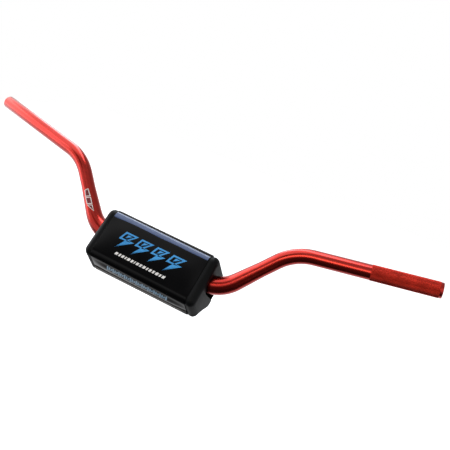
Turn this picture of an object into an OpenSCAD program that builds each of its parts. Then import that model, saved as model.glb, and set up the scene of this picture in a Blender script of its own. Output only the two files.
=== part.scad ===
// Motocross handlebar with its crash pad, in millimetres.
// The origin is the centre of the straight clamp section. +X runs along that section to the clutch
// side, +Y points back to the rider and +Z up. The pad is wrapped round the clamp section.

/* [Bar bends] */
// Overall width from tip to tip
bar_width = 788; // [740:1:820]
// Height of the tips above the clamp section
tip_height = 119; // [100:1:135]
// How far the tips lie behind the clamp section
tip_sweep = 55; // [35:1:75]
// Distance between the corners of the two lower bends
lower_span = 230; // [215:1:250]
// Distance between the corners of the two upper bends
upper_span = 389; // [370:1:405]
// Height of the upper bends' corners above the clamp section
rise = 91; // [75:1:100]
// How far the upper bends' corners lie behind the clamp section
setback = 26; // [15:1:40]
// Radius of the lower bends at the tube's centre line
lower_bend_r = 58.5; // [45:0.5:65]
// Radius of the upper bends at the tube's centre line
upper_bend_r = 78; // [60:1:85]

/* [Bar tube] */
// Outer diameter of the clamp section
clamp_d = 28.6; // [27:0.1:31.8]
// Outer diameter of the two grip ends
grip_d = 22.2; // [21:0.1:23.5]
// Thickness of the tube's wall
tube_wall = 4; // [2.5:0.1:5]
// Angle of each lower bend over which the tube already narrows
bend_taper_angle = 33; // [10:1:38]
// Length of each straight riser over which the tube goes on narrowing
riser_taper = 42; // [25:1:50]
// Chamfer round the outside of each tip
tip_chamfer = 1.2; // [0.5:0.1:1.8]
// Chamfer round the mouth of each tip's bore
mouth_chamfer = 0.6; // [0.2:0.1:1.2]

/* [Knurl] */
// Length of the knurled band on the clutch side
knurl_length = 92; // [70:1:140]
// Plain length between the knurled band and the tip
knurl_from_tip = 4; // [3:0.5:8]
// Height of the knurled band above the plain tube
knurl_height = 0.2; // [0.1:0.05:0.4]

/* [Pad foam] */
// Length of the foam block along the bar
foam_length = 200; // [184:1:210]
// Angle of the pad's large face above the horizontal
pad_pitch = 59; // [40:1:75]
// Clearance between the foam and the tube
foam_clearance = 0.3; // [0.2:0.05:0.6]
// Rounding of the foam's two ends
foam_end_r = 7; // [3:0.5:10]
// Depth of the foam from the tube's centre to the mouth of its slot
foam_mouth = 41; // [34:0.5:46]

/* [Pad section] */
// Upper front corner: how far up the large face its arc lies from the tube's centre
upper_front_up = 26; // [22:0.5:30]
// Upper front corner: how far in front of the tube's centre its arc lies
upper_front_out = 14; // [11:0.5:17]
// Upper front corner: radius of its arc
upper_front_r = 11; // [7:0.5:14]
// Lower front corner: how far down the large face its arc lies
lower_front_down = 35; // [31:0.5:39]
// Lower front corner: how far in front its arc lies
lower_front_out = 21; // [18:0.5:24]
// Lower front corner: radius of its arc
lower_front_r = 9.5; // [6:0.5:12]
// Lowest corner: how far down its arc lies
lowest_down = 49; // [45:0.5:53]
// Lowest corner: how far behind the tube's centre its arc lies
lowest_back = 14; // [11:0.5:17]
// Lowest corner: radius of its arc
lowest_r = 6; // [3:0.5:8]
// Upper corner of the slot's side: how far up its arc lies
mouth_up = 22; // [20:0.5:26]
// Lower corner of the slot's side: how far down its arc lies
mouth_down = 27; // [24:0.5:30]
// Radius of the two corners on the slot's side
mouth_r = 5; // [3:0.5:8]

/* [Pad cover] */
// Length of the cover along the bar
cover_length = 172; // [150:1:178]
// Thickness of the cover's coated fabric
cover_t = 1.2; // [0.8:0.1:1.8]
// Clearance between soft layers that lie on each other
layer_gap = 0.1; // [0.05:0.05:0.3]
// Angle of the upper seam round the tube's centre, from straight up the large face
upper_seam_angle = 24; // [18:1:32]
// Angle of the lower seam
lower_seam_angle = 187; // [182:1:198]
// Angle left open between the two pieces of the cover that meet at a seam
seam_gap_angle = 0.4; // [0.2:0.1:1]
// Width of the tape that binds each long seam
binding_w = 9; // [6:0.5:12]
// Thickness of that tape
binding_t = 1; // [0.6:0.1:1.5]
// Width of the hook strip and of the loop strip
strip_w = 20; // [14:1:22]
// Thickness of the hook strip and of the loop strip
strip_t = 1.1; // [0.8:0.1:1.6]
// How far the strips end short of the cover's ends
strip_inset = 6; // [3:1:15]
// How far the strips lie inside the edges of the two flaps
edge_margin = 2; // [1:0.5:3]

/* [Hidden] */

$fn = 96;
taper_sides = 48;
taper_steps = 9;
cut = 0.5;
// Each bend is this much thinner than the straights it runs into, and enters them by this angle
seat = 0.02;
entry = 0.2;

bar_red = [0.72, 0.05, 0.05];
knurl_red = [0.55, 0.08, 0.06];
foam_black = [0.09, 0.09, 0.1];
vinyl_black = [0.05, 0.05, 0.06];
tape_grey = [0.4, 0.41, 0.43];

// Corners of the centre line on the +X side, from the middle of the clamp section to the tip
lower_corner = [lower_span / 2, 0, 0];
upper_corner = [upper_span / 2, setback, rise];
tip = [bar_width / 2, tip_sweep, tip_height];

function unit(v) = v / norm(v);
function turn(a, b) = acos(a * b);

clamp_dir = [1, 0, 0];
riser_dir = unit(upper_corner - lower_corner);
grip_dir = unit(tip - upper_corner);
lower_turn = turn(clamp_dir, riser_dir);
upper_turn = turn(riser_dir, grip_dir);
lower_tangent = lower_bend_r * tan(lower_turn / 2);
upper_tangent = upper_bend_r * tan(upper_turn / 2);
riser_length = norm(upper_corner - lower_corner) - lower_tangent - upper_tangent;
grip_length = norm(tip - upper_corner) - upper_tangent;

clamp_r = clamp_d / 2;
grip_r = grip_d / 2;
bend_taper = lower_bend_r * bend_taper_angle * PI / 180;
riser_start_r = clamp_r + (grip_r - clamp_r) * bend_taper / (bend_taper + riser_taper);

// Outline of the foam's section, as corner circles [along the large face, out of it, radius],
// counted from the tube's centre
foam_corners = [
    [upper_front_up, upper_front_out, upper_front_r],
    [-lower_front_down, lower_front_out, lower_front_r],
    [-lowest_down, -lowest_back, lowest_r],
    [-mouth_down, mouth_r - foam_mouth, mouth_r],
    [mouth_up, mouth_r - foam_mouth, mouth_r]
];
slot_half = clamp_r + foam_clearance;

// Layers of the cover, as distances out from the foam
front_in = layer_gap;
front_out = front_in + cover_t;
binding_in = front_out + layer_gap;
loop_in = front_out + layer_gap;
hook_in = loop_in + strip_t + layer_gap;
flap_in = hook_in + strip_t + layer_gap;

// Distance from the tube's centre that no part of the section passes
reach = 2 * (lowest_down + foam_mouth);

// Edges of the flaps and strips along the mouth of the slot
lower_flap_end = -slot_half;
strip_from = lower_flap_end - edge_margin - strip_w;
upper_flap_end = strip_from - edge_margin;

// Frame with its z axis along dir and its x axis along side
module placed(at, side, dir) {
    other = cross(dir, side);
    multmatrix([
        [side.x, other.x, dir.x, at.x],
        [side.y, other.y, dir.y, at.y],
        [side.z, other.z, dir.z, at.z],
        [0, 0, 0, 1]
    ]) children();
}

// Frame of a bend that leaves dir_in for dir_out: the arc lies in its xy plane, from its x axis
module bend_frame(corner, tangent, bend_r, dir_in, dir_out) {
    inward = unit(dir_out - (dir_out * dir_in) * dir_in);
    start = corner - tangent * dir_in;
    placed(start + bend_r * inward, -inward, cross(-inward, dir_in)) children();
}

// Frame of a straight that leaves a bend's corner along dir, after its tangent
module straight_frame(corner, tangent, dir) {
    placed(corner + tangent * dir, unit(cross(dir, [0, 1, 0])), dir) children();
}

// Round section swept from one angle to another at a constant radius
module bend(bend_r, r, from, to) {
    rotate([0, 0, from]) rotate_extrude(angle = to - from) translate([bend_r, 0]) circle(r = r);
}

// Round section that narrows evenly from r1 to r2 while it is swept
module narrowing_bend(bend_r, r1, r2, from, to) {
    points = [
        for (i = [0:taper_steps], k = [0:taper_sides - 1])
            let (
                share = i / taper_steps,
                angle = from + (to - from) * share,
                r = r1 + (r2 - r1) * share,
                round = 360 * k / taper_sides,
                out = bend_r + r * cos(round)
            )
            [out * cos(angle), out * sin(angle), r * sin(round)]
    ];
    sides = [
        for (i = [0:taper_steps - 1], k = [0:taper_sides - 1], half = [0, 1])
            let (
                next = (k + 1) % taper_sides,
                a = i * taper_sides,
                b = a + taper_sides
            )
            half == 0 ? [a + k, a + next, b + k] : [a + next, b + next, b + k]
    ];
    first = [for (k = [taper_sides - 1:-1:0]) k];
    last = [for (k = [0:taper_sides - 1]) taper_steps * taper_sides + k];
    polyhedron(points = points, faces = concat(sides, [first, last]));
}

// Lower bend, riser and upper bend of the +X side as a solid, thinner by shrink all over
module rise_to_grip(shrink) {
    clamp = clamp_r - shrink;
    grip = grip_r - shrink;
    riser = riser_start_r - shrink;
    plain_turn = lower_turn - bend_taper_angle;
    bend_frame(lower_corner, lower_tangent, lower_bend_r, clamp_dir, riser_dir)
        bend(lower_bend_r, clamp - seat, -entry, plain_turn);
    bend_frame(lower_corner, lower_tangent, lower_bend_r, clamp_dir, riser_dir)
        narrowing_bend(lower_bend_r, clamp - 2 * seat, riser - 2 * seat,
                       plain_turn - entry, lower_turn + entry);
    straight_frame(lower_corner, lower_tangent, riser_dir) rotate_extrude() polygon([
        [0, 0],
        [riser, 0],
        [grip, riser_taper],
        [grip, riser_length],
        [0, riser_length]
    ]);
    bend_frame(upper_corner, upper_tangent, upper_bend_r, riser_dir, grip_dir)
        bend(upper_bend_r, grip - seat, -entry, upper_turn + entry);
}

// Straight end that a grip goes on, with its raised band where it is knurled
module grip_end(knurled) {
    band_from = grip_length - knurl_from_tip - knurl_length;
    band_to = grip_length - knurl_from_tip;
    band = knurled ? [
        [grip_r, band_from],
        [grip_r + knurl_height, band_from],
        [grip_r + knurl_height, band_to],
        [grip_r, band_to]
    ] : [];
    straight_frame(upper_corner, upper_tangent, grip_dir) rotate_extrude() polygon(concat(
        [[0, 0], [grip_r, 0]],
        band,
        [[grip_r, grip_length - tip_chamfer], [grip_r - tip_chamfer, grip_length], [0, grip_length]]
    ));
}

// Bore of a grip's end, with its mouth
module grip_bore() {
    bore_r = grip_r - tube_wall;
    straight_frame(upper_corner, upper_tangent, grip_dir) rotate_extrude() polygon([
        [0, 0],
        [bore_r, 0],
        [bore_r, grip_length - mouth_chamfer],
        [bore_r + mouth_chamfer, grip_length],
        [bore_r + mouth_chamfer, grip_length + cut],
        [0, grip_length + cut]
    ]);
}

// Straight section that the clamps hold, thinner by shrink
module clamp_section(shrink) {
    rotate([0, 90, 0])
        cylinder(h = lower_span - 2 * lower_tangent, r = clamp_r - shrink, center = true);
}

module handlebar() {
    color(bar_red) difference() {
        union() {
            clamp_section(0);
            for (side = [0, 1]) mirror([side, 0, 0]) {
                rise_to_grip(0);
                grip_end(side == 0);
            }
        }
        union() {
            clamp_section(tube_wall);
            for (side = [0, 1]) mirror([side, 0, 0]) {
                rise_to_grip(tube_wall);
                grip_bore();
            }
        }
    }
}

// Section drawing laid across the bar and extruded to a length, centred on the clamp section
module across(length) {
    rotate([pad_pitch, 0, 0]) rotate([90, 0, 90])
        translate([0, 0, -length / 2]) linear_extrude(length) children();
}

// Outline of the pad's section, each corner grown by its own value
module outline(grow) {
    hull() for (i = [0:len(foam_corners) - 1])
        translate([foam_corners[i].x, foam_corners[i].y]) circle(r = foam_corners[i].z + grow[i]);
}

// Growth of an even layer, and of one that lies on the strips at the mouth
function even(grow) = [grow, grow, grow, grow, grow];
function lifted(grow, grow_mouth) = [grow, grow, grow_mouth, grow_mouth, grow_mouth];

// Even wall of a layer round the section
module layer(grow, thickness) {
    difference() {
        outline([for (g = grow) g + thickness]);
        outline(grow);
    }
}

// Slice of the section between two angles round the tube's centre
module sector(from, to) {
    steps = 12;
    polygon(concat([[0, 0]], [
        for (i = [0:steps])
            let (angle = from + (to - from) * i / steps)
            reach * [cos(angle), sin(angle)]
    ]));
}

// Stretch of the section's mouth side between two places along the large face
module mouth_band(from, to) {
    translate([from, -reach]) square([to - from, reach]);
}

module foam_pad() {
    ends = 4;
    color(foam_black) difference() {
        hull() for (i = [0:ends]) {
            angle = 90 * i / ends;
            across(foam_length - 2 * foam_end_r * (1 - sin(angle)))
                outline(even(-foam_end_r * (1 - cos(angle))));
        }
        across(foam_length + 2 * cut) {
            circle(r = slot_half);
            translate([-slot_half, -foam_mouth - cut]) square([2 * slot_half, foam_mouth + cut]);
        }
    }
}

module cover_front_panel() {
    color(vinyl_black) across(cover_length) intersection() {
        layer(even(front_in), cover_t);
        sector(upper_seam_angle + seam_gap_angle / 2, lower_seam_angle - seam_gap_angle / 2);
    }
}

module cover_lower_flap() {
    color(vinyl_black) across(cover_length) intersection() {
        layer(even(front_in), cover_t);
        sector(lower_seam_angle + seam_gap_angle / 2, 270);
        mouth_band(-reach, lower_flap_end);
    }
}

module cover_upper_flap() {
    color(vinyl_black) across(cover_length) intersection() {
        layer(lifted(front_in, flap_in), cover_t);
        union() {
            sector(270, 360 + upper_seam_angle - seam_gap_angle / 2);
            mouth_band(upper_flap_end, 1);
        }
    }
}

// Tape that covers the long seam at an angle
module binding(seam_angle) {
    color(tape_grey) across(cover_length) intersection() {
        layer(even(binding_in), binding_t);
        rotate([0, 0, seam_angle]) translate([0, -binding_w / 2]) square([reach, binding_w]);
    }
}

module upper_binding() {
    binding(upper_seam_angle);
}

module lower_binding() {
    binding(lower_seam_angle);
}

// One half of the closure that holds the upper flap to the lower one
module closure_strip(grow) {
    color(foam_black) across(cover_length - 2 * strip_inset) intersection() {
        layer(even(grow), strip_t);
        mouth_band(strip_from, strip_from + strip_w);
    }
}

module hook_strip() {
    closure_strip(hook_in);
}

module loop_strip() {
    closure_strip(loop_in);
}

handlebar();
foam_pad();
cover_front_panel();
cover_upper_flap();
cover_lower_flap();
upper_binding();
lower_binding();
hook_strip();
loop_strip();
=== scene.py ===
import logging
import math
from collections.abc import Callable
from dataclasses import dataclass, field
from enum import Enum

import bpy
from mathutils import Matrix, Vector, noise


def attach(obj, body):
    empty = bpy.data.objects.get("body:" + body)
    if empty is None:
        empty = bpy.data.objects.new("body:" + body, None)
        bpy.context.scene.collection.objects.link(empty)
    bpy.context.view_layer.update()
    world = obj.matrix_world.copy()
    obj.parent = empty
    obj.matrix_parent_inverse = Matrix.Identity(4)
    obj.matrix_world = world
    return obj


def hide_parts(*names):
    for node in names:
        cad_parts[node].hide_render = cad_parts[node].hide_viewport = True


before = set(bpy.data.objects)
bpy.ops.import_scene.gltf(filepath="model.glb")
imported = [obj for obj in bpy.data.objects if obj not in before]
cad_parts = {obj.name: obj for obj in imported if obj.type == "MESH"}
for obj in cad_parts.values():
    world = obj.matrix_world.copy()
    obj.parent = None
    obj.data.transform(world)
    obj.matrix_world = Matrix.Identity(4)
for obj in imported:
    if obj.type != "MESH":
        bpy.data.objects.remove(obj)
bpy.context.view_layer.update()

LOG = logging.getLogger("handlebar")
MM = 0.001
BODY = "root"

# Straight sections meet the bends at these corners, in millimetres from the clamp's centre
LOWER_CORNER = Vector((115.0, 0.0, 0.0))
UPPER_CORNER = Vector((194.5, 26.0, 91.0))
TIP = Vector((394.0, 55.0, 119.0))

# Section of the pad, in millimetres along its large face and out of it
PAD_PITCH = math.radians(59.0)
PAD_ALONG = Vector((0.0, math.cos(PAD_PITCH), math.sin(PAD_PITCH)))
PAD_OUT = Vector((0.0, -math.sin(PAD_PITCH), math.cos(PAD_PITCH)))

# The camera stands where the photograph's did, found from the bar's known diameters
CAMERA_SPOT = Vector((371.3, -756.2, 336.1)) * MM
CAMERA_TARGET = Vector((68.5, 58.1, 75.6)) * MM
CAMERA_ROLL = math.radians(18.335)
CAMERA_LENS = 46.87


# The closure pulls the pad's lowest corner in towards the clutch side, by this much along and out
PULL_ALONG = 2.5
PULL_OUT = 7.0

# Thickness of the printed sheets and of the painted highlight band on the ridge
PRINT_AND_HIGHLIGHT_T = 0.12
GRAIN_FINE = 0.0001
JOIN_DISTANCE = 0.000002

Pair = tuple[float, float]
Triple = tuple[float, float, float]
Loop = list[Pair]
Shape = list[Loop]
Piece = bpy.types.Object
Material = bpy.types.Material
Node = bpy.types.Node
Tree = bpy.types.NodeTree
Socket = bpy.types.NodeSocket


class Wrap(Enum):
    """Which piece of the cover a band of the section belongs to."""

    FRONT = "cover_front_panel"
    UPPER_FLAP = "cover_upper_flap"
    LOWER_FLAP = "cover_lower_flap"


# Helpers for modelling by operators


def deselect() -> None:
    """Leaves object mode and deselects every object."""
    if bpy.context.object and bpy.context.object.mode != "OBJECT":
        bpy.ops.object.mode_set(mode="OBJECT")
    bpy.ops.object.select_all(action="DESELECT")


def pick(piece: Piece) -> None:
    """Makes one object the only selected and the active one."""
    deselect()
    piece.select_set(True)
    bpy.context.view_layer.objects.active = piece


def edit_all(piece: Piece) -> None:
    """Opens a mesh in edit mode with all of it selected."""
    pick(piece)
    bpy.ops.object.mode_set(mode="EDIT")
    bpy.ops.mesh.select_all(action="SELECT")


def close_edit() -> None:
    """Goes back to object mode."""
    bpy.ops.object.mode_set(mode="OBJECT")


def flip(piece: Piece) -> None:
    """Turns every face of a mesh over."""
    edit_all(piece)
    bpy.ops.mesh.flip_normals()
    close_edit()


def outward(piece: Piece) -> None:
    """Merges doubles and turns every face of a mesh outwards."""
    edit_all(piece)
    bpy.ops.mesh.remove_doubles(threshold=JOIN_DISTANCE)
    bpy.ops.mesh.normals_make_consistent(inside=False)
    close_edit()


def apply_modifier(piece: Piece, kind: str, **settings: object) -> None:
    """Adds a modifier, sets it and applies it.

    Args:
        piece: Mesh object that takes the modifier.
        kind: Blender's name of the modifier type.
        settings: Values of the modifier's own properties.
    """
    pick(piece)
    modifier = piece.modifiers.new(kind.title(), kind)
    for name, value in settings.items():
        setattr(modifier, name, value)
    bpy.ops.object.modifier_apply(modifier=modifier.name)


def poly_curve(name: str, loops: list[list[Vector]], cyclic: bool, radii: list[float] | None = None,
               flat: bool = False) -> Piece:
    """Makes a curve object of straight-sided splines.

    Args:
        name: Name of the object.
        loops: Points of each spline, in metres.
        cyclic: Whether the splines are closed.
        radii: Radius at each point of the first spline, for a tube.
        flat: Whether the curve is a filled outline in its own XY plane.

    Returns:
        The curve object, with its splines in place.
    """
    deselect()
    bpy.ops.curve.primitive_bezier_curve_add()
    piece = bpy.context.object
    piece.name = name
    curve = piece.data
    curve.splines.clear()
    curve.dimensions = "2D" if flat else "3D"
    curve.fill_mode = "BOTH" if flat else "FULL"
    for loop in loops:
        spline = curve.splines.new("POLY")
        spline.points.add(len(loop) - 1)
        for i, point in enumerate(loop):
            spline.points[i].co = (*point, 1.0)
            if radii:
                spline.points[i].radius = radii[i]
        spline.use_cyclic_u = cyclic
    return piece


def to_mesh(piece: Piece) -> Piece:
    """Converts a curve object to a mesh and drops its old transform."""
    pick(piece)
    bpy.ops.object.convert(target="MESH")
    piece = bpy.context.object
    bpy.ops.object.transform_apply(location=True, rotation=True, scale=True)
    return piece


def finish_piece(piece: Piece, material: Material, angle: float = 35.0) -> None:
    """Smooths a piece, gives it its material and slot, and lets it ride on the part.

    Args:
        piece: The finished mesh.
        material: Material of the whole piece.
        angle: Edges sharper than this many degrees stay sharp.
    """
    pick(piece)
    bpy.ops.object.shade_smooth_by_angle(angle=math.radians(angle))
    piece.data.materials.clear()
    piece.data.materials.append(material)
    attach(piece, BODY)
    LOG.info("%s has %d faces", piece.name, len(piece.data.polygons))


def grid_piece(name: str, rows: list[list[Vector]], closed: bool) -> Piece:
    """Adds a grid primitive and lays its vertices on rows of points.

    Args:
        name: Name of the object.
        rows: Points of each row in metres, each row as long as the others.
        closed: Whether each row's last point joins its first.

    Returns:
        The mesh object.
    """
    columns = len(rows[0]) + int(closed)
    deselect()
    bpy.ops.mesh.primitive_grid_add(x_subdivisions=columns - 1, y_subdivisions=len(rows) - 1, size=2.0)
    piece = bpy.context.object
    piece.name = name
    for index, vertex in enumerate(piece.data.vertices):
        row, column = divmod(index, columns)
        vertex.co = rows[row][column % len(rows[0])]
    if closed:
        edit_all(piece)
        bpy.ops.mesh.remove_doubles(threshold=JOIN_DISTANCE)
        close_edit()
    return piece


def cap_ends(piece: Piece) -> None:
    """Closes the open rim at either end of X with one face each and turns the faces outwards."""
    for sign in (1.0, -1.0):
        edit_all(piece)
        bpy.ops.mesh.select_mode(type="VERT")
        bpy.ops.mesh.select_all(action="DESELECT")
        bpy.ops.mesh.select_non_manifold(extend=False)
        close_edit()
        for vertex in piece.data.vertices:
            if vertex.select and vertex.co.x * sign < 0.0:
                vertex.select = False
        bpy.ops.object.mode_set(mode="EDIT")
        bpy.ops.mesh.edge_face_add()
        bpy.ops.mesh.quads_convert_to_tris(quad_method="BEAUTY", ngon_method="BEAUTY")
        close_edit()
    edit_all(piece)
    bpy.ops.mesh.normals_make_consistent(inside=False)
    close_edit()


def join(pieces: list[Piece], name: str) -> Piece:
    """Joins mesh objects into one and names it."""
    deselect()
    for piece in pieces:
        piece.select_set(True)
    bpy.context.view_layer.objects.active = pieces[0]
    if len(pieces) > 1:
        bpy.ops.object.join()
    joined = bpy.context.object
    joined.name = name
    return joined


def smooth(value: float) -> float:
    """Eases a share from nought to one, and holds it outside."""
    share = min(1.0, max(0.0, value))
    return share * share * (3.0 - 2.0 * share)


def section_point(along: float, out: float, x: float) -> Vector:
    """Point of the fitted pad in the row frame.

    The closure pulls the pad's lowest corner in, more and more towards the clutch side.

    Args:
        along: Place along the large face, in millimetres from the tube's centre.
        out: Place out of the large face.
        x: Place along the bar.

    Returns:
        The point in metres.
    """
    lowest = smooth((-along - 18.0) / 30.0) * smooth((18.0 - out) / 25.0)
    pull = lowest * min(1.0, max(0.0, (x + 90.0) / 190.0))
    place = (along + PULL_ALONG * pull) * PAD_ALONG + (out + PULL_OUT * pull) * PAD_OUT
    return (Vector((x, 0.0, 0.0)) + place) * MM


def flat_mesh(name: str, shapes: list[Shape], step: float) -> Piece:
    """Fills flat shapes and cuts them into small faces that can bend.

    Args:
        name: Name of the object.
        shapes: Each shape as its outline and then its holes.
        step: Distance between the cuts, in the shapes' own unit.

    Returns:
        The flat mesh in its own XY plane.
    """
    made = []
    for shape in shapes:
        loops = [[Vector((a, b, 0.0)) for a, b in loop] for loop in shape]
        made.append(to_mesh(poly_curve(name, loops, True, flat=True)))
    piece = join(made, name)
    spots = [[vertex.co[axis] for vertex in piece.data.vertices] for axis in (0, 1)]
    edit_all(piece)
    for axis in (0, 1):
        low, high = min(spots[axis]), max(spots[axis])
        normal = (1.0, 0.0, 0.0) if axis == 0 else (0.0, 1.0, 0.0)
        for k in range(1, math.ceil((high - low) / step)):
            bpy.ops.mesh.select_all(action="SELECT")
            spot = low + step * k
            bpy.ops.mesh.bisect(plane_co=(spot, spot, 0.0), plane_no=normal)
    close_edit()
    return piece


# Finishes


def feed(tree: Tree, node: Node, inputs: dict[str | int, object]) -> None:
    """Sets inputs of a node to values, or links them to sockets.

    Args:
        tree: Tree that holds the node.
        node: Node that takes the inputs.
        inputs: Value or socket for each input's name or number.
    """
    for key, value in inputs.items():
        if isinstance(value, Socket):
            tree.links.new(value, node.inputs[key])
        else:
            node.inputs[key].default_value = value


def add_node(tree: Tree, kind: str, inputs: dict[str | int, object], **settings: str) -> Node:
    """Adds a shader node and feeds it.

    Args:
        tree: Tree that takes the node.
        kind: Blender's name of the node without "ShaderNode".
        inputs: Value or socket for each input's name or number.
        settings: Values of the node's own properties.

    Returns:
        The node.
    """
    node = tree.nodes.new("ShaderNode" + kind)
    for name, value in settings.items():
        setattr(node, name, value)
    feed(tree, node, inputs)
    return node


def times(tree: Tree, first: Socket, second: Socket | float) -> Socket:
    """Multiplies two values in a node tree."""
    return add_node(tree, "Math", {0: first, 1: second}, operation="MULTIPLY").outputs["Value"]


@dataclass(frozen=True)
class Finish:
    """A procedural surface on one Principled shader.

    The colour wanders between two tones on a noise in object space, and a second noise gives the
    bump. Roughness wanders between two values in the same way.
    """

    name: str
    tone_a: Triple
    tone_b: Triple
    tone_scale: float
    rough_low: float
    rough_high: float
    metallic: float = 0.0
    specular: float = 0.5
    coat: float = 0.0
    coat_roughness: float = 0.05
    sheen: float = 0.0
    bump: float = 0.1
    bump_scale: float = 800.0
    bump_distance: float = 0.0002
    stretch: Triple = (1.0, 1.0, 1.0)

    def build(self) -> Material:
        """Makes the material.

        Returns:
            A new material with the finish's node tree.
        """
        material = bpy.data.materials.new(self.name)
        material.use_nodes = True
        tree = material.node_tree
        place = add_node(tree, "TexCoord", {}).outputs["Object"]
        mapping = add_node(tree, "Mapping", {"Vector": place, "Scale": self.stretch}).outputs["Vector"]
        wander = self._noise(tree, mapping, self.tone_scale, 4.0)
        grain = self._noise(tree, mapping, self.bump_scale, 3.0)
        tones = add_node(tree, "ValToRGB", {"Fac": wander})
        ends = zip(tones.color_ramp.elements, (0.35, 0.65), (self.tone_a, self.tone_b))
        for element, position, tone in ends:
            element.position = position
            element.color = (*tone, 1.0)
        low, high = self.rough_low, self.rough_high
        rough = add_node(tree, "MapRange", {"Value": wander, "To Min": low, "To Max": high})
        relief = {"Strength": self.bump, "Distance": self.bump_distance, "Height": grain}
        bump = add_node(tree, "Bump", relief)
        feed(tree, tree.nodes["Principled BSDF"], {
            "Base Color": tones.outputs["Color"],
            "Roughness": rough.outputs["Result"],
            "Normal": bump.outputs["Normal"],
            "Metallic": self.metallic,
            "Specular IOR Level": self.specular,
            "Coat Weight": self.coat,
            "Coat Roughness": self.coat_roughness,
            "Sheen Weight": self.sheen,
        })
        return material

    @staticmethod
    def _noise(tree: Tree, place: Socket, scale: float, detail: float) -> Socket:
        """Adds a noise texture on the mapped coordinates."""
        return add_node(tree, "TexNoise", {"Vector": place, "Scale": scale, "Detail": detail}).outputs["Fac"]


def ink(name: str, tone_a: Triple, tone_b: Triple, tone_scale: float, rough: Pair,
        bump: float = 0.1) -> Finish:
    """Finish of a print, with a little of the grain under it; the painted highlight on the ridge is made with
    it too.

    Args:
        name: Name of the material.
        tone_a: First tone.
        tone_b: Second tone.
        tone_scale: Scale of the wander between the tones.
        rough: Least and greatest roughness.
        bump: Strength of the grain.

    Returns:
        The finish.
    """
    return Finish(name, tone_a, tone_b, tone_scale, *rough, bump=bump, bump_scale=900.0,
                  bump_distance=GRAIN_FINE)


ANODISED = Finish(
    "red_anodised_tube", (0.35, 0.0100, 0.0045), (0.40, 0.014, 0.006), 14.0, 0.20, 0.28,
    metallic=1.0, coat=0.5, coat_roughness=0.12, bump=0.05, bump_scale=160.0, bump_distance=GRAIN_FINE,
    stretch=(1.0, 14.0, 14.0),
)
KNURLED = Finish(
    "red_knurled_tube", (0.30, 0.018, 0.010), (0.42, 0.026, 0.015), 60.0, 0.30, 0.44,
    metallic=1.0, bump=0.15, bump_scale=900.0, bump_distance=GRAIN_FINE,
)
FOAM = Finish(
    "moulded_foam_skin", (0.0020, 0.0024, 0.0028), (0.0038, 0.0044, 0.0052), 40.0, 0.38, 0.5,
    specular=0.08, bump=0.25, bump_scale=1500.0,
)
VINYL = Finish(
    "gloss_coated_fabric", (0.0014, 0.0014, 0.0018), (0.0022, 0.0022, 0.0027), 30.0, 0.10, 0.17,
    specular=0.12, bump=0.08, bump_scale=500.0, bump_distance=GRAIN_FINE,
)
PLAIN_VINYL = Finish(
    "matt_coated_fabric", (0.006, 0.006, 0.007), (0.010, 0.010, 0.012), 50.0, 0.35, 0.5,
    specular=0.4, bump=0.3, bump_scale=1200.0,
)
TAPE = Finish(
    "woven_binding_tape", (0.020, 0.020, 0.021), (0.040, 0.040, 0.042), 220.0, 0.6, 0.8,
    bump=0.5, bump_scale=1800.0, bump_distance=0.0003,
)
THREAD = Finish(
    "grey_thread", (0.20, 0.20, 0.205), (0.32, 0.32, 0.325), 300.0, 0.5, 0.7,
    bump=0.4, bump_scale=2500.0, bump_distance=GRAIN_FINE,
)
CLOSURE = Finish(
    "closure_pile", (0.006, 0.006, 0.006), (0.016, 0.016, 0.017), 400.0, 0.8, 0.95,
    sheen=0.3, bump=0.9, bump_scale=2600.0, bump_distance=0.0006,
)
BLUE_INK = ink("blue_print", (0.030, 0.27, 0.66), (0.045, 0.33, 0.76), 25.0, (0.25, 0.35))
WHITE_INK = ink("white_print", (0.76, 0.77, 0.78), (0.84, 0.85, 0.86), 30.0, (0.3, 0.4))
GREY_INK = ink("grey_blue_print", (0.13, 0.24, 0.36), (0.22, 0.33, 0.44), 60.0, (0.3, 0.45))
# Painted highlight: a blue-violet band on the ridge stands in for the overhead lamp's reflection in the
# glossy cover
RIDGE_HIGHLIGHT_PAINT = ink("painted_ridge_highlight", (0.040, 0.072, 0.180), (0.060, 0.100, 0.235), 18.0, (0.14, 0.22), 0.05)
MAROON_INK = ink("maroon_print", (0.09, 0.003, 0.007), (0.14, 0.005, 0.012), 40.0, (0.3, 0.4))


# The bar


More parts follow.
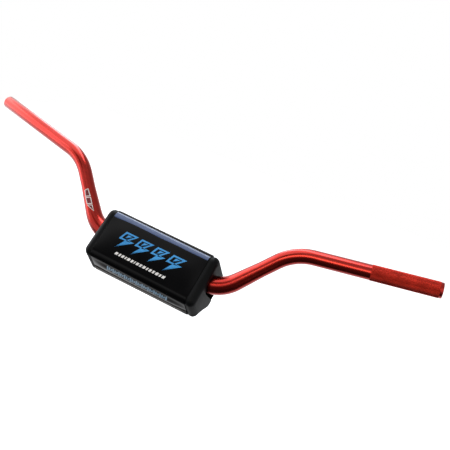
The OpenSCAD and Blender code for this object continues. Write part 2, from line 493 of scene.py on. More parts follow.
@dataclass
class Bar:
    """The one-piece tapered tube with its knurled clutch end. Sizes are in millimetres."""

    lower_bend_r: float = 58.5
    upper_bend_r: float = 78.0
    clamp_r: float = 14.3
    grip_r: float = 11.1
    wall: float = 4.0
    bend_taper: float = math.radians(33.0)
    riser_taper: float = 42.0
    tip_chamfer: float = 1.2
    knurl_length: float = 92.0
    knurl_from_tip: float = 4.0
    knurl_crest: float = 0.34
    knurl_valley: float = 0.02
    knurl_root: float = 0.5
    knurl_pitch: float = 1.5
    arc_step: float = math.radians(2.5)
    print_front: Triple = (0.1167, -0.9233, 0.3658)

    def directions(self) -> tuple[Vector, Vector, Vector]:
        """Directions of the clamp section, the riser and the grip end of the +X half."""
        return (
            Vector((1.0, 0.0, 0.0)),
            (UPPER_CORNER - LOWER_CORNER).normalized(),
            (TIP - UPPER_CORNER).normalized(),
        )

    def _arc(self, corner: Vector, radius: float, enter: Vector, leave: Vector) -> list[tuple[Vector, float]]:
        """Points of a bend and the angle turned before each.

        Args:
            corner: Corner of the centre line.
            radius: Radius of the bend.
            enter: Direction before the bend.
            leave: Direction after it.

        Returns:
            Pairs of a point and the angle turned so far.
        """
        turn = enter.angle(leave)
        tangent = radius * math.tan(turn / 2.0)
        inward = (leave - leave.dot(enter) * enter).normalized()
        start = corner - tangent * enter
        centre = start + radius * inward
        steps = math.ceil(turn / self.arc_step)
        turns = [turn * i / steps for i in range(steps + 1)]
        return [(centre + radius * (math.sin(t) * enter - math.cos(t) * inward), t) for t in turns]

    def half_line(self) -> list[tuple[Vector, float]]:
        """Centre line of the +X half from the middle to the tip.

        Returns:
            Pairs of a point and the tube's radius there.
        """
        clamp, riser, grip = self.directions()
        lower_turn = clamp.angle(riser)
        taper_length = self.bend_taper * self.lower_bend_r + self.riser_taper
        slope = (self.grip_r - self.clamp_r) / taper_length
        line = [(Vector((0.0, 0.0, 0.0)), self.clamp_r), (Vector((60.0, 0.0, 0.0)), self.clamp_r)]
        for point, turned in self._arc(LOWER_CORNER, self.lower_bend_r, clamp, riser):
            past = max(0.0, turned - (lower_turn - self.bend_taper)) * self.lower_bend_r
            line.append((point, self.clamp_r + slope * past))
        riser_start, riser_r = line[-1]
        for share in (0.5, 1.0):
            spot = riser_start + riser * (self.riser_taper * share)
            line.append((spot, riser_r + (self.grip_r - riser_r) * share))
        for point, _ in self._arc(UPPER_CORNER, self.upper_bend_r, riser, grip):
            line.append((point, self.grip_r))
        last = line[-1][0]
        for share in (0.5, 1.0):
            line.append((last.lerp(TIP, share), self.grip_r))
        return line

    def tube(self, material: Material) -> Piece:
        """Sweeps the tube, hollows it and chamfers its tips.

        Args:
            material: Finish of the tube.

        Returns:
            The tube, which stands for the solid bar.
        """
        half = self.half_line()
        mirrored = [(Vector((-p.x, p.y, p.z)), r) for p, r in half[:0:-1]]
        line = mirrored + half
        curve = poly_curve("bar_tube", [[p * MM for p, _ in line]], False, [r * MM for _, r in line])
        curve.data.bevel_depth = 1.0
        curve.data.bevel_resolution = 14
        curve.data.use_fill_caps = False
        piece = to_mesh(curve)
        outward(piece)
        if self._points_in(piece):
            flip(piece)
        apply_modifier(piece, "SOLIDIFY", thickness=self.wall * MM, offset=-1.0, use_even_offset=True)
        apply_modifier(piece, "BEVEL", width=self.tip_chamfer * 0.6 * MM, segments=3, limit_method="ANGLE",
                       angle_limit=math.radians(50.0))
        finish_piece(piece, material, 40.0)
        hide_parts("handlebar")
        return piece

    @staticmethod
    def _points_in(piece: Piece) -> bool:
        """Tells whether the faces of an open tube look towards its axis."""
        return max(piece.data.polygons, key=lambda face: face.center.z).normal.z < 0.0

    def knurl(self, material: Material) -> Piece:
        """Raises the diamond knurl of the clutch end as a closed sleeve.

        Args:
            material: Finish of the knurl.

        Returns:
            The knurled sleeve.
        """
        _, _, grip = self.directions()
        across = grip.cross(Vector((0.0, 1.0, 0.0))).normalized()
        other = grip.cross(across)
        around = 2 * round(math.pi * (2 * self.grip_r) / self.knurl_pitch)
        rows = 2 * round(self.knurl_length / self.knurl_pitch)
        start = TIP - (self.knurl_from_tip + self.knurl_length) * grip
        root = [self.grip_r - self.knurl_root] * around
        radii = [root]
        for row in range(rows + 1):
            crests = [(column + row) % 2 == 0 and 0 < row < rows for column in range(around)]
            heights = [self.knurl_crest if crest else self.knurl_valley for crest in crests]
            radii.append([self.grip_r + height for height in heights])
        radii.append(root)
        angles = [2.0 * math.pi * column / around for column in range(around)]
        lines = []
        for row, line in enumerate(radii):
            place = start + grip * (self.knurl_length * min(max(row - 1, 0), rows) / rows)
            lines.append([
                (place + radius * (math.cos(angle) * across + math.sin(angle) * other)) * MM
                for angle, radius in zip(angles, line)
            ])
        lines.append(lines[0])
        piece = grid_piece("knurled_band", lines, True)
        edit_all(piece)
        bpy.ops.mesh.quads_convert_to_tris(quad_method="SHORTEST_DIAGONAL")
        bpy.ops.mesh.normals_make_consistent(inside=False)
        close_edit()
        finish_piece(piece, material, 20.0)
        return piece

    def riser_print(self, name: str, shapes: list[Shape], material: Material) -> Piece:
        """Lays flat shapes round the riser of the throttle side.

        Args:
            name: Name of the print.
            shapes: Each shape as its outline and holes, in (round the tube, up the riser).
            material: Ink.

        Returns:
            The print as one thin piece.
        """
        clamp, riser, _ = self.directions()
        tangent = self.lower_bend_r * math.tan(clamp.angle(riser) / 2.0)
        start = LOWER_CORNER + tangent * riser
        start.x, riser.x = -start.x, -riser.x
        front = Vector(self.print_front)
        front = (front - front.dot(riser) * riser).normalized()
        side = riser.cross(front)
        bent = self.bend_taper * self.lower_bend_r
        start_r = self.clamp_r + (self.grip_r - self.clamp_r) * bent / (bent + self.riser_taper)
        piece = flat_mesh(name, shapes, 1.2)
        for vertex in piece.data.vertices:
            around, up = vertex.co.x, vertex.co.y
            radius = start_r + (self.grip_r - start_r) * min(1.0, up / self.riser_taper) + 0.04
            angle = around / radius
            out = math.cos(angle) * front + math.sin(angle) * side
            vertex.co = (start + up * riser + radius * out) * MM
        if piece.data.polygons[0].normal.dot(front) < 0.0:
            flip(piece)
        apply_modifier(piece, "SOLIDIFY", thickness=0.1 * MM, offset=1.0)
        finish_piece(piece, material, 40.0)
        return piece


# The pad


def spaced(points: Loop, step: float) -> Loop:
    """Points spread evenly along an open line.

    Args:
        points: Corners of the line.
        step: Greatest distance between neighbours.

    Returns:
        The new points, with both ends kept.
    """
    lengths = [0.0]
    for (a0, b0), (a1, b1) in zip(points, points[1:]):
        lengths.append(lengths[-1] + math.hypot(a1 - a0, b1 - b0))
    count = max(1, math.ceil(lengths[-1] / step))
    out = []
    segment = 0
    for i in range(count + 1):
        target = lengths[-1] * i / count
        while segment < len(points) - 2 and lengths[segment + 1] < target:
            segment += 1
        span = lengths[segment + 1] - lengths[segment] or 1.0
        share = (target - lengths[segment]) / span
        (a0, b0), (a1, b1) = points[segment], points[segment + 1]
        out.append((a0 + (a1 - a0) * share, b0 + (b1 - b0) * share))
    return out


@dataclass
class Section:
    """Outline of the pad's section: corner circles along the large face, out of it, and radius."""

    corners: tuple[Triple, ...] = (
        (26.0, 14.0, 11.0),
        (-35.0, 21.0, 9.5),
        (-49.0, -14.0, 6.0),
        (-27.0, -36.0, 5.0),
        (22.0, -36.0, 5.0),
    )
    mouth: float = 41.0
    slot_half: float = 14.6
    lip_r: float = 3.0
    upper_seam: float = math.radians(24.0)
    lower_seam: float = math.radians(187.0)
    arc_step: float = math.radians(6.0)

    def loop(self, grow: float, grow_mouth: float | None = None) -> Loop:
        """Closed outline grown by a distance.

        Args:
            grow: How far out of the foam the outline runs, in millimetres.
            grow_mouth: The same at the three corners of the slot's side, if it differs.

        Returns:
            Points counter-clockwise from the upper rear corner, the first again at the end.
        """
        mouth = grow if grow_mouth is None else grow_mouth
        circles = [(a, b, r + (mouth if i >= 2 else grow)) for i, (a, b, r) in enumerate(self.corners)]
        normals = []
        for (a0, b0, r0), (a1, b1, r1) in zip(circles, circles[1:] + circles[:1]):
            length = math.hypot(a1 - a0, b1 - b0)
            normals.append(math.atan2(b1 - b0, a1 - a0) - math.acos((r0 - r1) / length))
        points = []
        for i, (a, b, r) in enumerate(circles):
            start, end = normals[i - 1], normals[i]
            while end < start:
                end += 2.0 * math.pi
            steps = max(1, math.ceil((end - start) / self.arc_step))
            for k in range(steps + 1):
                angle = start + (end - start) * k / steps
                points.append((a + r * math.cos(angle), b + r * math.sin(angle)))
        return points + points[:1]

    def face(self, index: int, grow: float) -> tuple[Vector, Vector]:
        """Ends of one flat side of the outline.

        Args:
            index: Number of the corner that the side starts from.
            grow: How far out of the foam it runs.

        Returns:
            Its first and last point, in (along, out).
        """
        (a0, b0, r0), (a1, b1, r1) = self.corners[index:index + 2]
        length = math.hypot(a1 - a0, b1 - b0)
        angle = math.atan2(b1 - b0, a1 - a0) - math.acos((r0 - r1) / length)
        normal = Vector((math.cos(angle), math.sin(angle)))
        return Vector((a0, b0)) + (r0 + grow) * normal, Vector((a1, b1)) + (r1 + grow) * normal

    def run(self, grow: float, keep: Callable[[float, float], bool], step: float,
            grow_mouth: float | None = None) -> Loop:
        """Unbroken stretch of the outline.

        Args:
            grow: Distance from the foam.
            keep: Tells whether a place (along, out) belongs to the stretch.
            step: Spacing of the points.
            grow_mouth: Distance from the foam at the slot's side, if it differs.

        Returns:
            Points counter-clockwise.
        """
        dense = spaced(self.loop(grow, grow_mouth), 0.25)[:-1]
        kept = [keep(*point) for point in dense]
        first = next(i for i, kept_here in enumerate(kept) if kept_here and not kept[i - 1])
        turned, flags = dense[first:] + dense[:first], kept[first:] + kept[:first]
        count = flags.index(False) if False in flags else len(flags)
        return spaced(turned[:count], step)

    def band(self, wrap: Wrap, grow: float, grow_mouth: float, step: float = 2.4) -> Loop:
        """The stretch of the outline that one piece of the cover follows.

        Args:
            wrap: Which piece of the cover it is.
            grow: Distance of its inner face from the foam.
            grow_mouth: The same where it lies on the closure strips.
            step: Spacing of the points.

        Returns:
            Points counter-clockwise.
        """
        gap = math.radians(0.2)

        def inside(along: float, out: float) -> bool:
            angle = math.atan2(out, along) % (2.0 * math.pi)
            if wrap is Wrap.FRONT:
                return self.upper_seam + gap < angle < self.lower_seam - gap
            if wrap is Wrap.LOWER_FLAP:
                return angle > self.lower_seam + gap and out < 0.0 and along < -self.slot_half
            low = out < 0.0 and along > -(self.slot_half + 24.0) and angle > math.pi
            return low or angle < self.upper_seam - gap

        return self.run(grow, inside, step, grow_mouth)

    def foam_loop(self, inset: float, lip: float) -> Loop:
        """Closed outline of the foam with its slot.

        Args:
            inset: How far the outside is drawn in.
            lip: How far the slot is opened out.

        Returns:
            Points counter-clockwise, without the first again at the end. Their number is the
            same for every inset.
        """
        half = self.slot_half + lip
        floor = -self.mouth + inset
        edge = half + self.lip_r + 0.3
        outside = [p for p in spaced(self.loop(-inset), 0.8)[:-1] if abs(p[0]) > edge or p[1] > -20.0]
        first = next(
            i for i, p in enumerate(outside) if p[1] < -20.0 and p[0] > edge and outside[i - 1][0] < 0.0
        )
        dense = outside[first:] + outside[:first]
        outer = [dense[round(i * (len(dense) - 1) / 150)] for i in range(151)]
        turns = [math.pi / 8.0 * k for k in range(4, -1, -1)]
        lip_curve = [
            (-half - self.lip_r * (1.0 - math.cos(t)), floor + self.lip_r * (1.0 - math.sin(t)))
            for t in turns
        ]
        wall = floor + self.lip_r
        side = [(-half, wall * (1.0 - k / 8)) for k in range(1, 8)]
        arc = [(-half * math.cos(math.pi * k / 24), half * math.sin(math.pi * k / 24)) for k in range(25)]
        mirrored = [(-a, b) for a, b in (lip_curve + side)[::-1]]
        return outer + lip_curve + side + arc + mirrored


@dataclass
class Pad:
    """The foam block, its wrapped cover, the bound seams, the prints and the painted highlight on the ridge.
    Sizes are in millimetres.

    The upper flap's inner face lies flap_in from the foam, on the two closure strips.
    """

    section: Section = field(default_factory=Section)
    foam_length: float = 200.0
    foam_end_r: float = 9.0
    foam_bulge: float = 1.2
    cover_length: float = 172.0
    cover_t: float = 1.2
    layer_gap: float = 0.1
    flap_in: float = 3.7
    crown: float = 1.0
    side_crown: float = 1.8
    binding_w: float = 9.0
    binding_t: float = 1.0
    stitch_pitch: float = 2.3
    stitch_r: float = 0.5
    strip_w: float = 20.0
    strip_t: float = 1.1
    strip_inset: float = 6.0
    edge_margin: float = 2.0

    def foam(self, material: Material) -> Piece:
        """Moulds the foam block with its slot, its round ends and the swell past the cover.

        Args:
            material: Finish of the foam's skin.

        Returns:
            The foam block, which stands for its plain solid.
        """
        half = self.foam_length / 2.0
        edge = self.cover_length / 2.0
        turns = [math.pi / 2.0 * k / 8 for k in range(9)]
        round_r = self.foam_end_r
        stations = [(half - round_r * (1.0 - math.sin(t)), round_r * (1.0 - math.cos(t))) for t in turns]
        inner = [(edge + 2.0, 0.0), (edge - 3.0, 0.0), (edge - 30.0, 0.0)]
        ends = sorted(inner + [(x, inset) for x, inset in stations if x > edge + 2.0])
        places = [(-x, inset) for x, inset in ends[::-1]] + ends
        rows = []
        for x, inset in places:
            swell = self.foam_bulge * smooth((abs(x) - edge) / 4.0)
            lip = 1.5 * max(0.0, inset) / self.foam_end_r
            rows.append([section_point(a, b, x) for a, b in self.section.foam_loop(inset - swell, lip)])
        piece = grid_piece("foam_block", rows, True)
        cap_ends(piece)
        for vertex in piece.data.vertices:
            past = smooth((abs(vertex.co.x) / MM - edge) / 4.0)
            vertex.co += 0.0003 * past * noise.noise(vertex.co * 28.0) * PAD_OUT
        finish_piece(piece, material, 50.0)
        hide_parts("foam_pad")
        return piece

    def cover(self, wrap: Wrap, material: Material) -> Piece:
        """Lays one piece of the cover round the foam, crowned, with the crown fading towards its ends and its
        cut edges rounded.

        Args:
            wrap: Which piece of the cover to make.
            material: Finish of its outer face.

        Returns:
            The piece, which stands for its plain solid.
        """
        grow_mouth = self.flap_in if wrap is Wrap.UPPER_FLAP else self.layer_gap
        profile = self.section.band(wrap, self.layer_gap, grow_mouth)
        half = self.cover_length / 2.0
        places = [half * math.sin(math.pi * (k / 48 - 0.5)) for k in range(49)]
        rows = [[self._crowned(wrap, a, b, x, half) for a, b in profile] for x in places]
        piece = self._sheet(wrap.value + "_skin", rows, self.cover_t, True)
        self._soften(piece, 0.3, 2)
        finish_piece(piece, material, 50.0)
        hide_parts(wrap.value)
        return piece

    def _crowned(self, wrap: Wrap, along: float, out: float, x: float, half: float) -> Vector:
        """Point of the cover's inner face after the foam has filled it out.

        Args:
            wrap: Which piece of the cover it is.
            along: Place along the large face.
            out: Place out of the large face.
            x: Place along the bar.
            half: Half the cover's length.

        Returns:
            The point in the row frame, in metres.
        """
        ends = 1.0 - (abs(x) / half) ** 6
        reach = math.hypot(along, out)
        lift = 0.0
        if wrap is Wrap.FRONT:
            face = max(0.0, 1.0 - ((along + 4.0) / 34.0) ** 2) if out > 15.0 else 0.0
            down = (out - 8.0) / 14.0 if along < -38.0 else 1.0
            lift = self.crown * face * ends + self.side_crown * max(0.0, 1.0 - down * down) ** 2 * ends
        wander = 0.12 * noise.noise(Vector((x, along * 1.6, out * 1.6)) * 0.035)
        grown = 1.0 + (lift + wander * ends) / max(reach, 1.0)
        return section_point(along * grown, out * grown, x)

    @staticmethod
    def _face_out(piece: Piece) -> None:
        """Turns an open sheet's faces away from the tube's axis."""
        plane = Vector((0.0, 1.0, 1.0))
        faces = piece.data.polygons
        if sum((face.center * plane).dot(face.normal) * face.area for face in faces) < 0.0:
            flip(piece)

    def _sheet(self, name: str, rows: list[list[Vector]], thickness: float, even: bool = False) -> Piece:
        """Makes a sheet with its inner face on rows of points and its thickness outwards."""
        piece = grid_piece(name, rows, False)
        self._face_out(piece)
        apply_modifier(piece, "SOLIDIFY", thickness=thickness * MM, offset=1.0, use_even_offset=even)
        return piece

    @staticmethod
    def _soften(piece: Piece, width: float, segments: int) -> None:
        """Rounds the cut edges of a sheet."""
        apply_modifier(piece, "BEVEL", width=width * MM, segments=segments, limit_method="ANGLE",
                       angle_limit=math.radians(60.0))

    @staticmethod
    def _straight(profile: Loop, half: float, steps: int) -> list[list[Vector]]:
        """Rows of points that carry a profile along the bar, steps to either side of the middle."""
        places = [half * (k / steps - 1.0) for k in range(2 * steps + 1)]
        return [[section_point(a, b, x) for a, b in profile] for x in places]

    def binding(self, name: str, node: str, seam: float, material: Material) -> Piece:
        """Folds the tape that binds one long seam.

        Args:
            name: Name of the piece.
            node: Solid that it stands for.
            seam: Angle of the seam round the tube.
            material: Finish of the tape.

        Returns:
            The tape.
        """
        profile = self._strip(seam, self.cover_t + 2.0 * self.layer_gap, self.binding_w)
        rows = self._straight(profile, self.cover_length / 2.0, 30)
        piece = self._sheet(name, rows, self.binding_t)
        self._soften(piece, 0.35, 3)
        finish_piece(piece, material, 50.0)
        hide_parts(node)
        return piece

    def _strip(self, seam: float, grow: float, width: float) -> Loop:
        """Stretch of the outline within half a width of the ray at a seam's angle."""
        ray_a, ray_b = math.cos(seam), math.sin(seam)

        def near(along: float, out: float) -> bool:
            return abs(along * ray_b - out * ray_a) < width / 2.0 and along * ray_a + out * ray_b > 0.0

        return self.section.run(grow, near, 0.9)

    def closure(self, name: str, node: str, grow: float, material: Material) -> Piece:
        """Lays the hook strip or the loop strip between the two flaps.

        Args:
            name: Name of the piece.
            node: Solid that it stands for.
            grow: Distance of its inner face from the foam.
            material: Finish of the pile.

        Returns:
            The strip.
        """
        start = -self.section.slot_half - self.edge_margin - self.strip_w
        end = start + self.strip_w
        profile = self.section.run(grow, lambda along, out: out < 0.0 and start < along < end, 1.0)
        rows = self._straight(profile, self.cover_length / 2.0 - self.strip_inset, 20)
        piece = self._sheet(name, rows, self.strip_t)
        finish_piece(piece, material, 40.0)
        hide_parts(node)
        return piece

    def stitches(self, name: str, seam: float, material: Material) -> Piece:
        """Sews a row of slanting stitches over a bound seam.

        Args:
            name: Name of the row.
            seam: Angle of the seam round the tube.
            material: Finish of the thread.

        Returns:
            The row of stitches as one piece.
        """
        grow = self.cover_t + 2.0 * self.layer_gap + self.binding_t
        profile = self._strip(seam, grow, self.binding_w - 2.6)
        slant = self.stitch_pitch * 1.3
        count = int((self.cover_length - 6.0 - slant) / self.stitch_pitch)
        lines = []
        for k in range(count):
            x = -self.cover_length / 2.0 + 3.0 + self.stitch_pitch * k
            last = len(profile) - 1
            lines.append([section_point(a, b, x + slant * i / last) for i, (a, b) in enumerate(profile)])
        curve = poly_curve(name, lines, False)
        curve.data.bevel_depth = self.stitch_r * MM
        curve.data.bevel_resolution = 2
        curve.data.use_fill_caps = True
        piece = to_mesh(curve)
        outward(piece)
        finish_piece(piece, material, 60.0)
        return piece

    def flat_print(self, name: str, shapes: list[Shape], side: int, onto: Piece, material: Material) -> Piece:
        """Lays flat shapes on one side of the cover.

        Args:
            name: Name of the print.
            shapes: Each shape as its outline and its holes, in (x, distance along the large face)
                on the large side, and (x, distance down the side) on the one under it.
            side: Number of the outline's side.
            onto: Piece that the print lies on.
            material: Ink.

        Returns:
            The print as one thin piece.
        """
        first, last = self.section.face(side, self.cover_t + self.layer_gap + self.crown + 0.5)
        slope = (last - first).normalized()
        if side == 0:
            first, slope = first - slope * (first.x / slope.x), slope / slope.x
        piece = flat_mesh(name, shapes, 3.0)
        for vertex in piece.data.vertices:
            spot = first + slope * vertex.co.y
            vertex.co = section_point(spot.x, spot.y, vertex.co.x)
        self._face_out(piece)
        apply_modifier(piece, "SHRINKWRAP", target=onto, wrap_method="NEAREST_SURFACEPOINT",
                       wrap_mode="ABOVE_SURFACE", offset=0.03 * MM)
        apply_modifier(piece, "SOLIDIFY", thickness=PRINT_AND_HIGHLIGHT_T * MM, offset=1.0)
        finish_piece(piece, material, 40.0)
        return piece

    def paint_ridge_highlight(self, material: Material) -> Piece:
        """Lays a band of painted highlight along the rounded ridge, narrower towards the clutch side.

        Args:
            material: Colour of the painted highlight.

        Returns:
            The band.
        """
        (a, b, r), half = self.section.corners[0], self.cover_length / 2.0 - 1.0
        reach = r + self.cover_t + self.layer_gap + 0.04
        rows = []
        for k in range(61):
            x = half * (k / 30 - 1.0)
            low = math.radians(92.0 - 6.0 * k / 60)
            high = math.radians(44.0 + 8.0 * k / 60)
            angles = [high + (low - high) * i / 14 for i in range(15)]
            rows.append([section_point(a + reach * math.cos(t), b + reach * math.sin(t), x) for t in angles])
        piece = self._sheet("painted_ridge_highlight_band", rows, PRINT_AND_HIGHLIGHT_T)
        finish_piece(piece, material, 40.0)
        return piece


def ring(points: Loop, width: float) -> Shape:
    """Outline of a closed shape as a band of even width.

    Args:
        points: Corners of the shape, counter-clockwise.
        width: Width of the band, inwards.

    Returns:
        The outer loop and the inner one.
    """
    inner = []
    count = len(points)
    for i, (x, y) in enumerate(points):
        (x0, y0), (x1, y1) = points[i - 1], points[(i + 1) % count]
        before = Vector((x - x0, y - y0)).normalized()
        after = Vector((x1 - x, y1 - y)).normalized()
        first, second = Vector((-before.y, before.x)), Vector((-after.y, after.x))
        mitre = first + second
        mitre = mitre / max(mitre.dot(first), 0.35)
        inner.append((x + mitre.x * width, y + mitre.y * width))
    return [points, inner]


def slanted(x: float, y: float, width: float, height: float, lean: float) -> Loop:
    """Corners of a leaning bar that stands at x, y."""
    return [(x, y), (x + width, y), (x + width + lean, y + height), (x + lean, y + height)]


def bolt(x: float, top: float, size: float) -> Loop:
    """Corners of a jagged bolt that hangs from a height, counter-clockwise.

    Args:
        x: Place of its left edge.
        top: Height of its top edge.
        size: Scale of the shape, one being 29 mm tall.

    Returns:
        The corners.
    """
    top_edge, left_side = [(27.0, 0.0), (4.0, 0.0)], [(-2.0, -14.5), (7.0, -14.5), (-1.0, -29.5)]
    corners = top_edge + left_side + [(25.0, -11.5), (15.0, -11.5)]
    return [(x + a * size, top + b * size) for a, b in corners]


@dataclass
class Prints:
    """The plain generic prints: bolts, dashes and bars in the photograph's colours."""

    bar: Bar
    pad: Pad
    cover: Piece
    bolt_top: float = 12.5
    bolt_line: float = 2.8
    dash_y: float = -26.4
    dash_height: float = 4.2
    dash_gap: float = 2.1
    bar_pitch: float = 3.6
    pane_line: float = 1.25

    def bolts(self, ink: Material) -> None:
        """Prints outlined bolts along the large face, each with a small splinter inside."""
        shapes = []
        for x, size in ((-55.0, 1.0), (-26.0, 0.98), (3.0, 0.96), (31.5, 1.0)):
            shapes.append(ring(bolt(x, self.bolt_top, size), self.bolt_line))
            shapes.append([[(x + 10.0, 8.6), (x + 7.6, 2.6), (x + 17.5, 8.6)]])
        self.pad.flat_print("blue_bolts", shapes, 0, self.cover, ink)

    def dashes(self, ink: Material) -> None:
        """Prints a row of leaning dashes under the bolts."""
        widths = (4.6, 3.2, 4.0, 2.4, 4.6, 3.6, 1.8, 4.2, 3.4, 4.6, 2.6, 4.0, 3.4, 4.6, 3.0, 4.4)
        shapes, x = [], -49.0
        for width in widths:
            shapes.append([slanted(x, self.dash_y, width, self.dash_height, 1.6)])
            x += width + self.dash_gap
        self.pad.flat_print("white_dashes", shapes, 0, self.cover, ink)

    def bars(self, ink: Material) -> None:
        """Prints leaning bars on the side under the large face."""
        shapes = []
        for k in range(31):
            low, height = 3.6 + 1.2 * (k % 3), 10.4 - 2.4 * (k % 3)
            shapes.append([slanted(-55.0 + self.bar_pitch * k, low, 2.7, height, -2.0)])
        self.pad.flat_print("grey_bars", shapes, 1, self.cover, ink)

    def riser(self, ink: Material, filling: Material) -> None:
        """Prints three linked outlined panes down the riser of the throttle side."""
        panes = [
            [(-5.0, 26.0), (4.5, 24.0), (3.0, 38.0), (-3.5, 37.0)],
            [(-4.5, 13.0), (4.8, 11.0), (4.5, 22.8), (-5.0, 24.8)],
            [(4.8, -1.5), (4.7, 9.8), (-4.5, 11.8)],
        ]
        rings = [ring(pane, self.pane_line) for pane in panes]
        self.bar.riser_print("riser_outlines", rings, ink)
        self.bar.riser_print("riser_panes", [[inner] for _, inner in rings], filling)


@dataclass(frozen=True)
class Patch:
    """Round soft-edged patch of the room that only mirrored rays see. Angles are in degrees."""

    towards: Triple
    inner: float
    outer: float
    strength: float


@dataclass(frozen=True)
class Lamp:
    """Soft rectangular lamp, with a radiance where one is white. Sizes are in metres."""

    name: str
    spot: Triple
    size: Pair
    radiance: float
    tint: Triple


PATCHES = (
    Patch((0.45, 0.50, 0.74), 26.0, 50.0, 0.5),
    Patch((0.02, -0.30, 0.95), 14.0, 40.0, 0.55),
    Patch((0.05, -0.85, -0.45), 24.0, 44.0, 0.08),
    Patch((-0.40, -0.72, 0.56), 9.0, 15.0, 0.2),
    Patch((-0.62, 0.08, 0.78), 26.0, 44.0, 2.1),
)
LAMPS = (
    Lamp("top_panel", (-0.50, 0.55, 1.25), (0.45, 2.0), 4.5, (0.80, 0.89, 1.0)),
    Lamp("left_panel", (-1.55, -0.20, 0.30), (1.7, 1.5), 2.3, (1.0, 0.97, 1.0)),
    Lamp("front_strip", (0.15, -1.45, 0.62), (1.0, 0.40), 3.4, (1.0, 0.80, 0.50)),
)


@dataclass
class Studio:
    """Floor, lights and camera round the part. Sizes are in metres.

    In mirrored rays the floor is dark where it lies nearer than dark_y, right of dark_x.
    """

    floor_z: float = -0.30
    floor_x: Pair = (-1.9, 1.9)
    floor_y: Pair = (-0.45, 2.4)
    floor_camera_glow: float = 0.82
    floor_gloss_glow: float = 0.25
    dark_y: Pair = (0.06, -0.06)
    dark_x: Pair = (-0.75, -0.45)
    dark_glow: float = 0.04
    ambient: float = 0.45

    @staticmethod
    def _seen(tree: Tree, names: tuple[str, ...]) -> Socket:
        """Adds a light path node and gives one when the ray is of any of the named kinds.

        Args:
            tree: Node tree to add to.
            names: Outputs of the light path node.

        Returns:
            Socket that is one for such rays and nought for others.
        """
        path = add_node(tree, "LightPath", {})
        socket = path.outputs[names[0]]
        for name in names[1:]:
            either = add_node(tree, "Math", {0: socket, 1: path.outputs[name]}, operation="MAXIMUM")
            socket = either.outputs["Value"]
        return socket

    def floor(self) -> Piece:
        """Lays a pale floor that reads as white past the part's shadow.

        Returns:
            The floor.
        """
        deselect()
        (x0, x1), (y0, y1) = self.floor_x, self.floor_y
        middle = ((x0 + x1) / 2.0, (y0 + y1) / 2.0, self.floor_z)
        bpy.ops.mesh.primitive_plane_add(size=1.0, location=middle)
        bpy.ops.transform.resize(value=(x1 - x0, y1 - y0, 1.0))
        bpy.ops.object.transform_apply(location=True, rotation=True, scale=True)
        floor = bpy.context.object
        floor.name = "studio_floor"
        floor.data.materials.append(self._floor_material())
        return floor

    def _floor_material(self) -> Material:
        """Makes the floor's pale surface, which glows to the camera and has a dark part in gloss.

        Returns:
            The material.
        """
        material = bpy.data.materials.new("white_floor")
        material.use_nodes = True
        tree = material.node_tree
        shader = tree.nodes["Principled BSDF"]
        mirrored = self._seen(tree, ("Is Glossy Ray", "Is Transmission Ray"))
        camera_glow = times(tree, self._seen(tree, ("Is Camera Ray",)), self.floor_camera_glow)
        terms = {0: mirrored, 1: self.floor_gloss_glow, 2: camera_glow}
        glow = add_node(tree, "Math", terms, operation="MULTIPLY_ADD")
        feed(tree, shader, {
            "Base Color": (0.86, 0.86, 0.86, 1.0),
            "Roughness": 0.9,
            "Specular IOR Level": 0.0,
            "Emission Color": (1.0, 1.0, 1.0, 1.0),
            "Emission Strength": glow.outputs["Value"],
        })
        place = add_node(tree, "TexCoord", {}).outputs["Object"]
        parts = add_node(tree, "SeparateXYZ", {"Vector": place})
        near, right = (
            add_node(tree, "MapRange", {"Value": parts.outputs[axis], "From Min": low, "From Max": high})
            for axis, (low, high) in (("Y", self.dark_y), ("X", self.dark_x))
        )
        corner = times(tree, near.outputs["Result"], right.outputs["Result"])
        dark = times(tree, self._seen(tree, ("Is Glossy Ray",)), corner)
        card = add_node(tree, "Emission", {"Strength": self.dark_glow}).outputs["Emission"]
        mixed = add_node(tree, "MixShader", {"Fac": dark, 1: shader.outputs["BSDF"], 2: card})
        feed(tree, tree.nodes["Material Output"], {"Surface": mixed.outputs["Shader"]})
        return material

    @staticmethod
    def _lay(tree: Tree, level: Socket, patch: Patch) -> Socket:
        """Lays a patch over the room.

        Args:
            tree: Node tree of the world.
            level: Strength of the room so far.
            patch: The patch.

        Returns:
            Strength of the room with the patch.
        """
        place = add_node(tree, "TexCoord", {}).outputs["Generated"]
        towards = Vector(patch.towards).normalized()
        facing = add_node(tree, "VectorMath", {0: place, 1: towards}, operation="DOT_PRODUCT")
        share = add_node(tree, "MapRange", {
            "Value": facing.outputs["Value"],
            "From Min": math.cos(math.radians(patch.outer)),
            "From Max": math.cos(math.radians(patch.inner)),
        }, interpolation_type="SMOOTHSTEP")
        blend = add_node(tree, "Mix", {"Factor": share.outputs["Result"], "A": level, "B": patch.strength})
        return blend.outputs["Result"]

    def world(self) -> None:
        """Makes the room: even grey light, white to the camera, with the patches in gloss."""
        world = bpy.data.worlds.new("studio_room")
        bpy.context.scene.world = world
        world.use_nodes = True
        tree = world.node_tree
        level = add_node(tree, "Value", {}).outputs["Value"]
        level.default_value = 1.0
        for patch in PATCHES:
            level = self._lay(tree, level, patch)
        glossy = self._seen(tree, ("Is Glossy Ray",))
        gloss = add_node(tree, "Mix", {"Factor": glossy, "A": self.ambient, "B": level}).outputs["Result"]
        direct = self._seen(tree, ("Is Camera Ray", "Is Transmission Ray"))
        seen = add_node(tree, "Mix", {"Factor": direct, "A": gloss, "B": 1.0}).outputs["Result"]
        feed(tree, tree.nodes["Background"], {"Color": (1.0, 1.0, 1.0, 1.0), "Strength": seen})

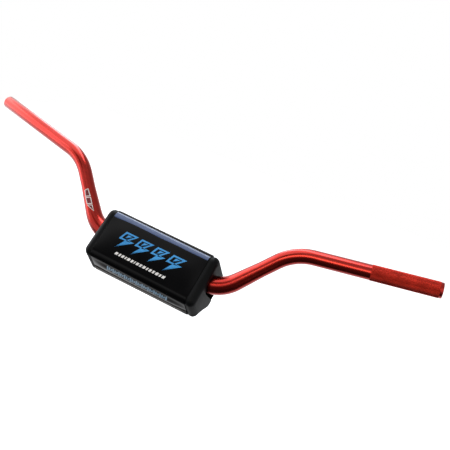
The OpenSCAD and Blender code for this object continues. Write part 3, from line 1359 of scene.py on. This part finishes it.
    def lights(self) -> None:
        """Hangs the studio's lamps, each looking at the part."""
        for lamp in LAMPS:
            deselect()
            bpy.ops.object.light_add(type="AREA", location=lamp.spot)
            hung = bpy.context.object
            hung.name = lamp.name
            hung.data.shape = "RECTANGLE"
            hung.data.size, hung.data.size_y = lamp.size
            hung.data.energy = lamp.radiance * math.pi * lamp.size[0] * lamp.size[1]
            hung.data.color = lamp.tint
            hung.rotation_mode = "QUATERNION"
            hung.rotation_quaternion = (Vector((0.0, 0.0, 0.03)) - Vector(lamp.spot)).to_track_quat("-Z", "Y")

    def camera(self) -> Piece:
        """Stands the camera where the photograph was taken from."""
        deselect()
        bpy.ops.object.camera_add(location=CAMERA_SPOT)
        camera = bpy.context.object
        camera.name = "photo_camera"
        aim = (CAMERA_TARGET - CAMERA_SPOT).to_track_quat("-Z", "Y").to_matrix().to_4x4()
        camera.matrix_world = Matrix.Translation(CAMERA_SPOT) @ aim @ Matrix.Rotation(CAMERA_ROLL, 4, "Z")
        camera.data.lens = CAMERA_LENS
        camera.data.sensor_width = 36.0
        camera.data.clip_start = 0.05
        bpy.context.scene.camera = camera
        return camera


def main() -> None:
    """Builds the part, the studio and the camera."""
    logging.basicConfig(level=logging.INFO, format="%(name)s: %(message)s")
    bar = Bar()
    bar.tube(ANODISED.build())
    bar.knurl(KNURLED.build())
    pad = Pad()
    pad.foam(FOAM.build())
    vinyl, plain = VINYL.build(), PLAIN_VINYL.build()
    front = pad.cover(Wrap.FRONT, vinyl)
    pad.cover(Wrap.UPPER_FLAP, plain)
    pad.cover(Wrap.LOWER_FLAP, plain)
    tape, thread = TAPE.build(), THREAD.build()
    for name, seam in (("upper", pad.section.upper_seam), ("lower", pad.section.lower_seam)):
        pad.binding(name + "_binding_tape", name + "_binding", seam, tape)
        pad.stitches(name + "_binding_stitches", seam, thread)
    pile = CLOSURE.build()
    loop_grow = pad.cover_t + 2.0 * pad.layer_gap
    pad.closure("loop_pile", "loop_strip", loop_grow, pile)
    pad.closure("hook_pile", "hook_strip", loop_grow + pad.strip_t + pad.layer_gap, pile)
    # The ridge's highlight is painted on as a coloured band rather than left to the lamps
    pad.paint_ridge_highlight(RIDGE_HIGHLIGHT_PAINT.build())
    prints = Prints(bar, pad, front)
    white = WHITE_INK.build()
    prints.bolts(BLUE_INK.build())
    prints.dashes(white)
    prints.bars(GREY_INK.build())
    prints.riser(white, MAROON_INK.build())
    studio = Studio()
    studio.floor()
    studio.world()
    studio.lights()
    studio.camera()
    bpy.context.scene.view_settings.view_transform = "Standard"


if __name__ == "__main__":
    main()
